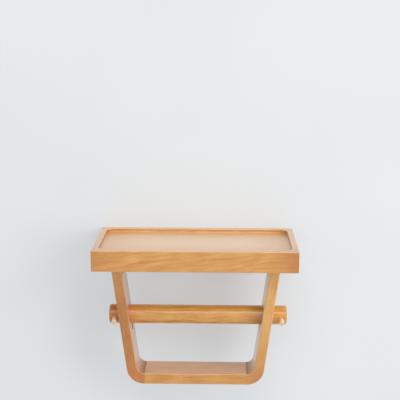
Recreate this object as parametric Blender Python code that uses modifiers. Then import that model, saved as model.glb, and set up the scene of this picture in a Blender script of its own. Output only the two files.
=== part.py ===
"""A wall-hung toilet roll holder in beech with a shelf tray on top.

A closed frame of four glued strips hangs under the tray. A dowel rod with a
peg near each end lies through keyholes in the frame's two legs and carries the
roll. With the pegs turned down in line with the slots the rod pulls out
sideways; turned away from them, it is locked in.

Metres, +Z up. The origin is the middle of the tray's back face, which lies on
the wall, and the front of the holder faces -Y.
"""
import math

import bmesh
import bpy
from mathutils import Vector

# The tray: one thick board with a shallow routed recess.
TRAY_WIDTH = 0.230
TRAY_DEPTH = 0.115
TRAY_HEIGHT = 0.024
TRAY_RIM = 0.007
RECESS_DEPTH = 0.0045
RECESS_CORNER = 0.011
RECESS_COVE = 0.002
EDGE_ROUND = 0.0009

# The hanging frame: two legs that lean inward, a top rail and a bottom rail.
# The two widths are between the outer sides, as if the corners were sharp.
FRAME_TOP_WIDTH = 0.196
FRAME_BOTTOM_WIDTH = 0.1556
FRAME_HEIGHT = 0.1462
FRAME_DEPTH = 0.041
FRAME_FROM_WALL = 0.0365
LEG_THICKNESS = 0.0116
BOTTOM_RAIL_THICKNESS = 0.0127
TOP_RAIL_THICKNESS = 0.008
OUTER_CORNER = 0.0195
INNER_CORNER = 0.0095

# Glue joints are drawn open by this much, and so is every other seat.
SEAT_GAP = 0.0003

# The roll rod and its two pegs.
ROD_DIAMETER = 0.0224
ROD_DROP = 0.067
ROD_CLEARANCE = 0.0004
ROD_END_ROUND = 0.002
PEG_DIAMETER = 0.006
PEG_REACH = 0.019
PEG_ROOT = 0.003
PEG_TIP_ROUND = 0.0006
PEG_TO_ROD_END = 0.0064
END_PLAY = 0.0028
PEG_TO_LEG = 0.0003
REST_TURN = math.radians(-75)

# The slot below each rod hole, which lets a peg through.
SLOT_SIDE_CLEARANCE = 0.0006
SLOT_END_CLEARANCE = 0.0011

# Dowels in the four glue joints of the frame, two in each.
BOTTOM_DOWEL_DIAMETER = 0.006
BOTTOM_DOWEL_LENGTH = 0.024
TOP_DOWEL_DIAMETER = 0.004
TOP_DOWEL_LENGTH = 0.018
DOWEL_FROM_FACE = 0.0095
DOWEL_CHAMFER = 0.0006

# Countersunk wood screws, up through the top rail into the tray.
FRAME_SCREW_HEAD = 0.0076
FRAME_SCREW_SHANK = 0.004
FRAME_SCREW_HEAD_HEIGHT = 0.0024
FRAME_SCREW_LENGTH = 0.020
FRAME_SCREW_TIP = 0.003
FRAME_SCREW_SINK = 0.0002
FRAME_SCREW_FROM_END = 0.018
FRAME_SCREW_FROM_FACE = 0.011

# Keyhole hanger plates let into the tray's back face.
HANGER_FROM_END = 0.040
HANGER_DROP = 0.002
PLATE_LENGTH = 0.038
PLATE_HEIGHT = 0.016
PLATE_THICKNESS = 0.0018
PLATE_SINK = 0.0002
KEYHOLE_ENTRY = 0.0085
KEYHOLE_SLOT = 0.0044
KEYHOLE_RISE = 0.0055
KEYHOLE_DROP = 0.0022
HEAD_POCKET_DEPTH = 0.0043
HEAD_POCKET_MARGIN = 0.0005

# Small countersunk screws that hold the plates.
PLATE_SCREW_HEAD = 0.0055
PLATE_SCREW_SHANK = 0.003
PLATE_SCREW_HEAD_HEIGHT = 0.0013
PLATE_SCREW_LENGTH = 0.012
PLATE_SCREW_TIP = 0.0025
PLATE_SCREW_FROM_END = 0.0055

# How far a cutter runs past the face it cuts, and the distance below which
# two points count as one.
OVERRUN = 0.002
WELD = 0.00001

# Facets.
CORNER_STEPS = 10
ROUND_STEPS = 3
ROD_STEPS = 48
SMALL_STEPS = 20
HOLE_STEPS = 40

# Places that follow from the sizes above.
TRAY_TOP = TRAY_HEIGHT / 2
TRAY_UNDERSIDE = -TRAY_HEIGHT / 2
RECESS_FLOOR = TRAY_TOP - RECESS_DEPTH
FRAME_TOP = TRAY_UNDERSIDE - SEAT_GAP
FRAME_BOTTOM = TRAY_UNDERSIDE - FRAME_HEIGHT
FRAME_BACK = -FRAME_FROM_WALL
FRAME_FRONT = FRAME_BACK - FRAME_DEPTH
FRAME_MIDDLE = (FRAME_BACK + FRAME_FRONT) / 2
BOTTOM_RAIL_TOP = FRAME_BOTTOM + BOTTOM_RAIL_THICKNESS
TOP_RAIL_UNDERSIDE = TRAY_UNDERSIDE - TOP_RAIL_THICKNESS
ROD_HEIGHT = TRAY_UNDERSIDE - ROD_DROP
LEAN = math.atan2(FRAME_TOP_WIDTH / 2 - FRAME_BOTTOM_WIDTH / 2, FRAME_HEIGHT)


def leg_outer(height):
    """Half the frame's outer width at a height, on the legs' straight sides."""
    return FRAME_TOP_WIDTH / 2 - (TRAY_UNDERSIDE - height) * math.tan(LEAN)


def leg_inner(height):
    """Half the frame's inner width at a height, on the legs' straight sides."""
    return leg_outer(height) - LEG_THICKNESS / math.cos(LEAN)


# A corner under a leaning leg turns through less than a right angle at the
# bottom, and through more at the top.
BOTTOM_TURN = math.pi / 2 - LEAN
TOP_TURN = math.pi / 2 + LEAN
BOTTOM_JOINT = leg_inner(BOTTOM_RAIL_TOP) - INNER_CORNER * math.tan(BOTTOM_TURN / 2)
TOP_JOINT = leg_inner(TOP_RAIL_UNDERSIDE) - INNER_CORNER * math.tan(TOP_TURN / 2)

# The pegs clear the legs all the way round, and the rod has been pushed to one
# side until the left peg nearly touches its leg.
PEG_PLACE = leg_outer(ROD_HEIGHT + PEG_REACH) + PEG_DIAMETER / 2 + END_PLAY
ROD_HALF_LENGTH = PEG_PLACE + PEG_TO_ROD_END
ROD_SHIFT = END_PLAY - PEG_TO_LEG

HANGER_HEIGHT = -HANGER_DROP
HANGER_PLACE = TRAY_WIDTH / 2 - HANGER_FROM_END

# A piece laid out on a flat outline stands in one of these turns, by the axis
# that its thickness runs along.
TURNS = {
    "X": (math.pi / 2, 0, math.pi / 2),
    "Y": (math.pi / 2, 0, 0),
    "Z": (0, 0, 0),
}


def clear_scene():
    for obj in list(bpy.data.objects):
        bpy.data.objects.remove(obj, do_unlink=True)


def new_collection(name):
    collection = bpy.data.collections.new(name)
    bpy.context.scene.collection.children.link(collection)
    return collection


def new_material(name, colour, roughness, metallic=0.0):
    material = bpy.data.materials.new(name)
    material.use_nodes = True
    shader = material.node_tree.nodes["Principled BSDF"]
    shader.inputs["Base Color"].default_value = (*colour, 1.0)
    shader.inputs["Roughness"].default_value = roughness
    shader.inputs["Metallic"].default_value = metallic
    return material


clear_scene()
PARTS = new_collection("toilet_roll_holder")
CUTTERS = new_collection("cutters")

BEECH_TRAY = new_material("beech_tray", (0.62, 0.36, 0.16), 0.45)
BEECH_FRAME = new_material("beech_frame", (0.56, 0.30, 0.12), 0.45)
BEECH_ROD = new_material("beech_rod", (0.50, 0.24, 0.09), 0.42)
BEECH_PEG = new_material("beech_peg", (0.70, 0.48, 0.26), 0.5)
BEECH_DOWEL = new_material("beech_dowel", (0.66, 0.44, 0.24), 0.6)
ZINC_PLATE = new_material("zinc_plate", (0.60, 0.60, 0.58), 0.35, 1.0)
STEEL_SCREW = new_material("steel_screw", (0.66, 0.62, 0.50), 0.3, 1.0)


def add_object(name, mesh, material=None):
    """Put a mesh in the scene, as a part if it has a material, else a cutter."""
    obj = bpy.data.objects.new(name, mesh)
    if material is None:
        CUTTERS.objects.link(obj)
        obj.hide_render = True
        obj.display_type = 'WIRE'
    else:
        PARTS.objects.link(obj)
        obj.data.materials.append(material)
    return obj


def smooth(obj):
    obj.data.shade_smooth()
    obj.data.set_sharp_from_angle(angle=math.radians(35))


def prism(name, outline, low, high, axis, material=None):
    """A flat outline given thickness from low to high along an axis."""
    curve = bpy.data.curves.new(name + "_outline", 'CURVE')
    curve.dimensions = '2D'
    curve.fill_mode = 'BOTH'
    curve.extrude = (high - low) / 2
    spline = curve.splines.new('POLY')
    spline.points.add(len(outline) - 1)
    for point, (u, v) in zip(spline.points, outline):
        point.co = (u, v, 0, 1)
    spline.use_cyclic_u = True
    drawn = bpy.data.objects.new(name + "_outline", curve)
    bpy.context.scene.collection.objects.link(drawn)
    drawn.rotation_euler = TURNS[axis]
    drawn.location["XYZ".index(axis)] = (low + high) / 2
    bpy.context.view_layer.update()

    evaluated = drawn.evaluated_get(bpy.context.evaluated_depsgraph_get())
    mesh = bpy.data.meshes.new_from_object(evaluated)
    mesh.name = name
    weld = bmesh.new()
    weld.from_mesh(mesh)
    bmesh.ops.remove_doubles(weld, verts=weld.verts, dist=WELD)
    bmesh.ops.dissolve_limit(weld, angle_limit=math.radians(0.2), verts=weld.verts, edges=weld.edges)
    bmesh.ops.recalc_face_normals(weld, faces=weld.faces)
    weld.to_mesh(mesh)
    weld.free()
    obj = add_object(name, mesh, material)
    obj.matrix_world = drawn.matrix_world.copy()
    bpy.data.objects.remove(drawn, do_unlink=True)
    return obj


def block(name, low, high, material=None):
    """A box between two corners."""
    low, high = Vector(low), Vector(high)
    mesh = bpy.data.meshes.new(name)
    shape = bmesh.new()
    bmesh.ops.create_cube(shape, size=1)
    bmesh.ops.scale(shape, vec=high - low, verts=shape.verts)
    shape.to_mesh(mesh)
    shape.free()
    obj = add_object(name, mesh, material)
    obj.location = (low + high) / 2
    return obj


def turned(name, profile, steps, material=None):
    """A round piece about its own Z, from a profile that runs top to bottom."""
    mesh = bpy.data.meshes.new(name)
    mesh.from_pydata([(radius, 0, height) for radius, height in profile],
                     [(i, i + 1) for i in range(len(profile) - 1)], [])
    obj = add_object(name, mesh, material)
    screw = obj.modifiers.new("turn", 'SCREW')
    screw.axis = 'Z'
    screw.steps = steps
    screw.render_steps = steps
    screw.use_merge_vertices = True
    screw.merge_threshold = WELD
    screw.use_smooth_shade = True
    return obj


def cut(obj, cutter):
    boolean = obj.modifiers.new("cut_" + cutter.name, 'BOOLEAN')
    boolean.operation = 'DIFFERENCE'
    boolean.solver = 'EXACT'
    boolean.object = cutter


def round_sharp_edges(obj, width):
    """Sand every sharp edge that the object has at this point of its stack."""
    bevel = obj.modifiers.new("sanded_edges", 'BEVEL')
    bevel.limit_method = 'ANGLE'
    bevel.angle_limit = math.radians(50)
    bevel.width = width
    bevel.segments = ROUND_STEPS


def round_chosen_edges(obj, width, chosen):
    """Sand the sharp edges that chosen() accepts by their two ends."""
    shape = bmesh.new()
    shape.from_mesh(obj.data)
    weight = shape.edges.layers.float.new("bevel_weight_edge")
    bpy.context.view_layer.update()
    for edge in shape.edges:
        ends = [obj.matrix_world @ vertex.co for vertex in edge.verts]
        is_sharp = edge.calc_face_angle() > math.radians(50)
        edge[weight] = 1.0 if is_sharp and chosen(*ends) else 0.0
    shape.to_mesh(obj.data)
    shape.free()
    bevel = obj.modifiers.new("sanded_edges", 'BEVEL')
    bevel.limit_method = 'WEIGHT'
    bevel.width = width
    bevel.segments = ROUND_STEPS


def arc(centre, radius, start, end, steps):
    """Points on an arc from one angle to another, both ends included."""
    return [(centre[0] + radius * math.cos(start + (end - start) * i / steps),
             centre[1] + radius * math.sin(start + (end - start) * i / steps))
            for i in range(steps + 1)]


def rounded_rectangle(width, height, radius, centre, steps):
    """Four arcs. Where two of them meet with no straight side, as on a plate
    with fully round ends, their shared point is kept once."""
    outline = []
    for turn, (side_u, side_v) in enumerate(((1, 1), (-1, 1), (-1, -1), (1, -1))):
        corner = (centre[0] + side_u * (width / 2 - radius),
                  centre[1] + side_v * (height / 2 - radius))
        outline += arc(corner, radius, turn * math.pi / 2, (turn + 1) * math.pi / 2, steps)
    return [point for point, before in zip(outline, outline[-1:] + outline)
            if math.dist(point, before) > WELD]


def keyhole(centre, radius, slot_width, slot_end, steps):
    """A round hole with a round-ended slot. slot_end is the middle of the
    slot's round end, straight above or below the hole's centre."""
    half = slot_width / 2
    away = math.copysign(1, slot_end - centre[1])
    opening = math.asin(half / radius)
    middle = away * math.pi / 2
    hole = arc(centre, radius, middle + opening, middle + 2 * math.pi - opening, steps)
    end = arc((centre[0], slot_end), half, middle - math.pi / 2, middle + math.pi / 2, steps // 3)
    return hole + end


def screw_profile(head, shank, head_height, length, tip, clearance=0.0, overrun=0.0):
    """A countersunk screw, its head's flat at height 0, pointing down."""
    profile = [(0, overrun), (head / 2 + clearance, overrun)]
    if overrun:
        profile.append((head / 2 + clearance, 0))
    return profile + [
        (shank / 2 + clearance, -head_height - clearance),
        (shank / 2 + clearance, -length + tip),
        (0, -length - clearance)]


def dowel_profile(diameter, length, clearance=0.0):
    """A chamfered dowel, centred on its own middle."""
    radius = diameter / 2 + clearance
    half = length / 2 + clearance
    return [(0, half), (radius - DOWEL_CHAMFER, half), (radius, half - DOWEL_CHAMFER),
            (radius, DOWEL_CHAMFER - half), (radius - DOWEL_CHAMFER, -half), (0, -half)]


def make_tray():
    tray = block("tray", (-TRAY_WIDTH / 2, -TRAY_DEPTH, TRAY_UNDERSIDE),
                 (TRAY_WIDTH / 2, 0, TRAY_TOP), BEECH_TRAY)
    recess = prism("recess_cutter",
                   rounded_rectangle(TRAY_WIDTH - 2 * TRAY_RIM, TRAY_DEPTH - 2 * TRAY_RIM,
                                     RECESS_CORNER, (0, -TRAY_DEPTH / 2), CORNER_STEPS),
                   RECESS_FLOOR, TRAY_TOP + OVERRUN, "Z")

    def is_at_floor(first, second):
        return max(first.z, second.z) < RECESS_FLOOR + WELD

    round_chosen_edges(recess, RECESS_COVE, is_at_floor)
    cut(tray, recess)
    round_sharp_edges(tray, EDGE_ROUND)
    smooth(tray)
    return tray


def leg_outline():
    """The right leg seen from the front, with a rounded foot at its bottom
    that meets the bottom rail and a filleted one at its top."""
    outer_turn = OUTER_CORNER * math.tan(BOTTOM_TURN / 2)
    outer_centre = (leg_outer(FRAME_BOTTOM) - outer_turn, FRAME_BOTTOM + OUTER_CORNER)
    lower_centre = (BOTTOM_JOINT, BOTTOM_RAIL_TOP + INNER_CORNER)
    upper_centre = (TOP_JOINT, TOP_RAIL_UNDERSIDE - INNER_CORNER)
    bottom = -math.pi / 2
    outline = [(leg_outer(FRAME_TOP), FRAME_TOP), (TOP_JOINT, FRAME_TOP)]
    outline += arc(upper_centre, INNER_CORNER, math.pi / 2, -LEAN, CORNER_STEPS)
    outline += arc(lower_centre, INNER_CORNER, -LEAN, bottom, CORNER_STEPS)
    outline.append((BOTTOM_JOINT, FRAME_BOTTOM))
    outline += arc(outer_centre, OUTER_CORNER, bottom, -LEAN, CORNER_STEPS)
    return outline


def is_leg_edge(first, second):
    """True for the long edges of a leg, and not where it meets its neighbours."""
    along_depth = abs(first.y - second.y) > WELD
    at_tray = min(first.z, second.z) > FRAME_TOP - WELD
    middle = abs(first.x + second.x) / 2
    upright = abs(first.x - second.x) < WELD
    at_joint = upright and min(abs(middle - BOTTOM_JOINT), abs(middle - TOP_JOINT)) < WELD
    return not (along_depth or at_tray or at_joint)


def make_leg(name, side):
    outline = [(side * x, z) for x, z in leg_outline()]
    leg = prism(name, outline, FRAME_FRONT, FRAME_BACK, "Y", BEECH_FRAME)
    round_chosen_edges(leg, EDGE_ROUND, is_leg_edge)

    radius = ROD_DIAMETER / 2 + ROD_CLEARANCE
    slot_width = PEG_DIAMETER + 2 * SLOT_SIDE_CLEARANCE
    slot_end = ROD_HEIGHT - PEG_REACH - SLOT_END_CLEARANCE + slot_width / 2
    ends = sorted((side * (leg_inner(FRAME_BOTTOM) - OVERRUN), side * (leg_outer(FRAME_TOP) + OVERRUN)))
    hole = prism(name + "_keyhole_cutter",
                 keyhole((FRAME_MIDDLE, ROD_HEIGHT), radius, slot_width, slot_end, HOLE_STEPS),
                 *ends, "X")
    cut(leg, hole)
    smooth(leg)
    return leg


def is_lengthwise(first, second):
    return abs(first.x - second.x) > WELD


def make_rails():
    half = BOTTOM_JOINT - SEAT_GAP
    bottom_rail = block("bottom_rail", (-half, FRAME_FRONT, FRAME_BOTTOM),
                        (half, FRAME_BACK, BOTTOM_RAIL_TOP), BEECH_FRAME)
    half = TOP_JOINT - SEAT_GAP
    top_rail = block("top_rail", (-half, FRAME_FRONT, TOP_RAIL_UNDERSIDE),
                     (half, FRAME_BACK, FRAME_TOP), BEECH_FRAME)
    for rail in (bottom_rail, top_rail):
        round_chosen_edges(rail, EDGE_ROUND, is_lengthwise)
        smooth(rail)
    return bottom_rail, top_rail


def add_dowels(joint_name, joint, height, diameter, length, pieces):
    """Two dowels across a glue joint, and their bores in the pieces there."""
    places = {"front": FRAME_FRONT + DOWEL_FROM_FACE, "back": FRAME_BACK - DOWEL_FROM_FACE}
    for place_name, place in places.items():
        name = joint_name + "_dowel_" + place_name
        dowel = turned(name, dowel_profile(diameter, length), SMALL_STEPS, BEECH_DOWEL)
        bore = turned(name + "_bore", dowel_profile(diameter, length, SEAT_GAP), SMALL_STEPS)
        for piece in (dowel, bore):
            piece.rotation_euler = (0, math.pi / 2, 0)
            piece.location = (joint, place, height)
        for piece in pieces:
            cut(piece, bore)


def add_screws(places, turn, sizes, pieces):
    """Countersunk screws by name and place, and their bores in what they hold."""
    for name, place in places.items():
        screw = turned(name, screw_profile(*sizes), SMALL_STEPS, STEEL_SCREW)
        bore = turned(name + "_bore", screw_profile(*sizes, SEAT_GAP, OVERRUN), SMALL_STEPS)
        for piece in (screw, bore):
            piece.rotation_euler = turn
            piece.location = place
        for piece in pieces:
            cut(piece, bore)


def make_frame(tray):
    left_leg = make_leg("left_leg", -1)
    right_leg = make_leg("right_leg", 1)
    bottom_rail, top_rail = make_rails()
    bottom_height = (FRAME_BOTTOM + BOTTOM_RAIL_TOP) / 2
    top_height = (FRAME_TOP + TOP_RAIL_UNDERSIDE) / 2
    joint_middle = SEAT_GAP / 2
    for side_name, side, leg in (("left", -1, left_leg), ("right", 1, right_leg)):
        add_dowels(side_name + "_bottom", side * (BOTTOM_JOINT - joint_middle), bottom_height,
                   BOTTOM_DOWEL_DIAMETER, BOTTOM_DOWEL_LENGTH, (leg, bottom_rail))
        add_dowels(side_name + "_top", side * (TOP_JOINT - joint_middle), top_height,
                   TOP_DOWEL_DIAMETER, TOP_DOWEL_LENGTH, (leg, top_rail))

    along = TOP_JOINT - FRAME_SCREW_FROM_END
    rows = {"front": FRAME_FRONT + FRAME_SCREW_FROM_FACE, "back": FRAME_BACK - FRAME_SCREW_FROM_FACE}
    places = {side_name + "_frame_screw_" + row: (side * along, y, TOP_RAIL_UNDERSIDE + FRAME_SCREW_SINK)
              for side_name, side in (("left", -1), ("right", 1))
              for row, y in rows.items()}
    sizes = (FRAME_SCREW_HEAD, FRAME_SCREW_SHANK, FRAME_SCREW_HEAD_HEIGHT,
             FRAME_SCREW_LENGTH, FRAME_SCREW_TIP)
    add_screws(places, (math.pi, 0, 0), sizes, (top_rail, tray))


def make_rod():
    """The rod and its pegs, on an empty that lies on the rod's axis. The pegs
    point straight down before the empty is turned to the rest position."""
    axis = bpy.data.objects.new("rod_axis", None)
    PARTS.objects.link(axis)
    axis.location = (ROD_SHIFT, FRAME_MIDDLE, ROD_HEIGHT)
    axis.rotation_euler = (REST_TURN, 0, 0)

    radius = ROD_DIAMETER / 2
    corner = (radius - ROD_END_ROUND, ROD_HALF_LENGTH - ROD_END_ROUND)
    top = arc(corner, ROD_END_ROUND, math.pi / 2, 0, ROUND_STEPS + 1)
    profile = [(0, ROD_HALF_LENGTH)] + top + [(r, -z) for r, z in reversed(top)] + [(0, -ROD_HALF_LENGTH)]
    rod = turned("roll_rod", profile, ROD_STEPS, BEECH_ROD)
    rod.rotation_euler = (0, math.pi / 2, 0)
    rod.parent = axis

    for name, side in (("left_peg", -1), ("right_peg", 1)):
        half = PEG_DIAMETER / 2
        corner = (half - PEG_TIP_ROUND, -PEG_REACH + PEG_TIP_ROUND)
        tip = arc(corner, PEG_TIP_ROUND, 0, -math.pi / 2, ROUND_STEPS)
        peg = turned(name, [(0, -PEG_ROOT), (half, -PEG_ROOT)] + tip + [(0, -PEG_REACH)],
                     SMALL_STEPS, BEECH_PEG)
        bore = turned(name + "_bore",
                      [(0, -PEG_ROOT + SEAT_GAP), (half + SEAT_GAP, -PEG_ROOT + SEAT_GAP),
                       (half + SEAT_GAP, -radius - OVERRUN), (0, -radius - OVERRUN)], SMALL_STEPS)
        for piece in (peg, bore):
            piece.parent = axis
            piece.location = (side * PEG_PLACE, 0, 0)
        cut(rod, bore)


def make_hanger(name, side, tray):
    """A keyhole plate sunk flush in the tray's back, over a pocket for the
    head of the wall screw, with its two screws."""
    centre = (side * HANGER_PLACE, HANGER_HEIGHT)
    outer_face = -PLATE_SINK
    inner_face = outer_face - PLATE_THICKNESS
    plate = prism(name + "_plate",
                  rounded_rectangle(PLATE_LENGTH, PLATE_HEIGHT, PLATE_HEIGHT / 2, centre, CORNER_STEPS),
                  inner_face, outer_face, "Y", ZINC_PLATE)
    entry = (centre[0], centre[1] - KEYHOLE_DROP)
    slot_end = entry[1] + KEYHOLE_RISE
    cut(plate, prism(name + "_keyhole_cutter",
                     keyhole(entry, KEYHOLE_ENTRY / 2, KEYHOLE_SLOT, slot_end, HOLE_STEPS),
                     inner_face - OVERRUN, outer_face + OVERRUN, "Y"))

    pocket_height = PLATE_HEIGHT + 2 * SEAT_GAP
    cut(tray, prism(name + "_plate_pocket_cutter",
                    rounded_rectangle(PLATE_LENGTH + 2 * SEAT_GAP, pocket_height,
                                      pocket_height / 2, centre, CORNER_STEPS),
                    inner_face - SEAT_GAP, OVERRUN, "Y"))
    head_width = KEYHOLE_ENTRY + 2 * HEAD_POCKET_MARGIN
    cut(tray, prism(name + "_head_pocket_cutter",
                    rounded_rectangle(head_width, head_width + KEYHOLE_RISE, head_width / 2,
                                      (centre[0], entry[1] + KEYHOLE_RISE / 2), CORNER_STEPS),
                    inner_face - HEAD_POCKET_DEPTH, OVERRUN, "Y"))

    reach = PLATE_LENGTH / 2 - PLATE_SCREW_FROM_END
    places = {name + "_screw_" + end_name: (centre[0] + end * reach, outer_face, centre[1])
              for end_name, end in (("left", -1), ("right", 1))}
    sizes = (PLATE_SCREW_HEAD, PLATE_SCREW_SHANK, PLATE_SCREW_HEAD_HEIGHT,
             PLATE_SCREW_LENGTH, PLATE_SCREW_TIP)
    add_screws(places, (-math.pi / 2, 0, 0), sizes, (plate, tray))
    smooth(plate)


tray = make_tray()
make_frame(tray)
make_rod()
make_hanger("left_hanger", -1, tray)
make_hanger("right_hanger", 1, tray)
bpy.context.view_layer.update()
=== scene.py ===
"""The looks of a wall-hung beech toilet roll holder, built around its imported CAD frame.

Metres, +Z up. The wall is the plane y = 0 and the front of the holder faces -Y.
"""

import math

import bmesh
import bpy
from mathutils import Matrix, Vector


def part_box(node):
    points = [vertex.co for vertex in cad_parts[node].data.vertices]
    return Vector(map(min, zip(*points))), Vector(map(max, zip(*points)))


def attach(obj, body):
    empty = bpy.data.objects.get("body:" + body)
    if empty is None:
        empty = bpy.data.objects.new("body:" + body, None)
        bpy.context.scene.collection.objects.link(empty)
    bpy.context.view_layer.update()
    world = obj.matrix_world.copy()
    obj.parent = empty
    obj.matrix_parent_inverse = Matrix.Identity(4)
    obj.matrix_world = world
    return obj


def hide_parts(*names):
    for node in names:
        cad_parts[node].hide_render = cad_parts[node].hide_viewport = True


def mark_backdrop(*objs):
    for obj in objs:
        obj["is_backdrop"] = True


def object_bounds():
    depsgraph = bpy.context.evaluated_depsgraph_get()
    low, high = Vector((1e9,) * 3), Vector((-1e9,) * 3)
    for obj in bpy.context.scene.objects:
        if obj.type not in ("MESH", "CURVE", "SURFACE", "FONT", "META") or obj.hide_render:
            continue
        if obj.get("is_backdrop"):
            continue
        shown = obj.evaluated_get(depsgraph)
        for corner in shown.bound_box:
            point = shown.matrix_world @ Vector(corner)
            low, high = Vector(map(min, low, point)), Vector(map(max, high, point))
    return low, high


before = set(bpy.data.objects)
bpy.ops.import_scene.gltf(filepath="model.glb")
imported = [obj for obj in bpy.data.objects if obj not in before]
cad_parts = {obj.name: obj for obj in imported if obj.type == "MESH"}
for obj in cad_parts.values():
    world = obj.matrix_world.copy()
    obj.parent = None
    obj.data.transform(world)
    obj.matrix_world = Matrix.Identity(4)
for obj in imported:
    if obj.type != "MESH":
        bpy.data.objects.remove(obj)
cad_low, cad_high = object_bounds()

# TRAY: one thick beech board, planed square, with a shallow recess routed into its top.
# Its back face has pockets for the two hanger plates and for the heads of the wall screws,
# and its sanded edges and faces have a satin lacquer.
TRAY_RIM = 0.007
RECESS_DEPTH = 0.0045
RECESS_CORNER = 0.011
RECESS_COVE = 0.0015
SANDED_EDGE = 0.0009
POCKET_EDGE_SHARE = 0.25
SEAT_GAP = 0.0003
KEYHOLE_ENTRY = 0.0085
KEYHOLE_RISE = 0.0055
KEYHOLE_DROP = 0.0022
HEAD_POCKET_DEPTH = 0.0043
HEAD_POCKET_MARGIN = 0.0005
FRAME_SCREW_SHANK = 0.004
GRAIN_SLOPE = math.radians(7)
PAINTED_SHEEN_STEP = 0.055
PLATE_SCREW_SHANK = 0.003
OVERRUN = 0.002
WELD = 0.000003
TOUCH = 0.0001
MERGE = TOUCH / 5
ALIGNED = 0.9
LEVEL = 0.999
ALMOST_HALF = 0.4995
FLAT = math.radians(0.1)
SHARP = math.radians(30)
CREST = math.radians(15)
CORNER_STEPS = 14
COVE_STEPS = 6
ARC_STEPS = 12
EDGE_STEPS = 4
BAR_SIDES = 48
DRILL_SIDES = 24


def alone(name):
    """Names the newest primitive and puts its place into its mesh."""
    piece = bpy.context.active_object
    piece.name = piece.data.name = name
    bpy.ops.object.transform_apply(location=True, rotation=True, scale=True)
    return piece


def block(name, low, high):
    """A box between its lowest and highest corners."""
    low, high = Vector(low), Vector(high)
    bpy.ops.object.select_all(action='DESELECT')
    bpy.ops.mesh.primitive_cube_add(size=1, location=(low + high) / 2, scale=high - low)
    return alone(name)


def pick(piece, kind, wanted):
    """Selects faces by their middle and normal, or edges by their middle and line."""
    bpy.ops.mesh.select_mode(type=kind)
    bpy.ops.mesh.select_all(action='DESELECT')
    mesh = bmesh.from_edit_mesh(piece.data)
    for part in mesh.faces if kind == 'FACE' else mesh.edges:
        if kind == 'FACE':
            middle, way = part.calc_center_median(), part.normal
        else:
            first, second = (vertex.co for vertex in part.verts)
            middle, way = (first + second) / 2, (second - first).normalized()
        part.select_set(wanted(middle, way))
    bmesh.update_edit_mesh(piece.data)


def round_ended(name, low, high, axis):
    """A block whose four edges along one axis are rounded until its ends are half round."""
    piece = block(name, low, high)
    across = [size for i, size in enumerate(Vector(high) - Vector(low)) if i != axis]
    bpy.ops.object.mode_set(mode='EDIT')
    pick(piece, 'EDGE', lambda middle, line: abs(line[axis]) > ALIGNED)
    bpy.ops.mesh.bevel(offset=ALMOST_HALF * min(across), segments=ARC_STEPS)
    bpy.ops.mesh.select_all(action='SELECT')
    bpy.ops.mesh.remove_doubles(threshold=MERGE)
    bpy.ops.object.mode_set(mode='OBJECT')
    return piece


def round_bar(name, radius, start, end, sides=BAR_SIDES):
    """A cylinder between two points."""
    start, end = Vector(start), Vector(end)
    bpy.ops.object.select_all(action='DESELECT')
    bpy.ops.mesh.primitive_cylinder_add(vertices=sides, radius=radius, depth=(end - start).length,
                                        location=(start + end) / 2,
                                        rotation=(end - start).to_track_quat('Z', 'Y').to_euler())
    return alone(name)


def shape_with(piece, kind, **settings):
    """Adds a modifier to a piece and applies it."""
    bpy.ops.object.select_all(action='DESELECT')
    piece.select_set(True)
    bpy.context.view_layer.objects.active = piece
    modifier = piece.modifiers.new(kind.lower(), kind)
    for setting, value in settings.items():
        setattr(modifier, setting, value)
    bpy.ops.object.modifier_apply(modifier=modifier.name)


def carve(piece, *cutters):
    """Cuts the shapes of some cutters out of a piece and removes them."""
    for cutter in cutters:
        shape_with(piece, 'BOOLEAN', object=cutter, operation='DIFFERENCE', solver='EXACT')
        bpy.data.objects.remove(cutter, do_unlink=True)


def bore(piece, axis, radius, node):
    """Drills a blind hole round a CAD node that lies along one axis."""
    low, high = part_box(node)
    start, end = (low + high) / 2, (low + high) / 2
    start[axis], end[axis] = low[axis] - SEAT_GAP, high[axis] + SEAT_GAP
    carve(piece, round_bar("drill", radius + SEAT_GAP, start, end, DRILL_SIDES))


def sand(piece, width, share_of, segments=EDGE_STEPS, clamp=False):
    """Rounds the sharp edges of a piece, each by its own share of the width. With clamp,
    edges that lie close together are rounded less, so that they don't cross."""
    mesh = bmesh.new()
    mesh.from_mesh(piece.data)
    weights = mesh.edges.layers.float
    weight = weights.get("bevel_weight_edge") or weights.new("bevel_weight_edge")
    for edge in mesh.edges:
        first, second = (vertex.co for vertex in edge.verts)
        sharp = edge.calc_face_angle(0) > SHARP
        edge[weight] = share_of((first + second) / 2, (second - first).normalized()) if sharp else 0.0
    mesh.to_mesh(piece.data)
    mesh.free()
    shape_with(piece, 'BEVEL', limit_method='WEIGHT', width=width, segments=segments, loop_slide=False,
               use_clamp_overlap=clamp)


def mark_worn_and_highlit_edges(piece):
    """Marks the crests of the rounded edges, where hands rub through the lacquer first and where a
    highlight is painted.
    """
    mesh = bmesh.new()
    mesh.from_mesh(piece.data)
    crests = []
    for face in mesh.faces:
        # A strip's width is its area over half its outline.
        narrow = 2 * face.calc_area() < face.calc_perimeter() * SANDED_EDGE / 2
        bends = sum(CREST < edge.calc_face_angle_signed(0) < 4 * CREST for edge in face.edges)
        crests += [float(narrow and bends > 1)] * len(face.verts)
    mesh.free()
    piece.data.attributes.new("wear_and_highlight", 'FLOAT', 'CORNER').data.foreach_set("value", crests)


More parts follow.
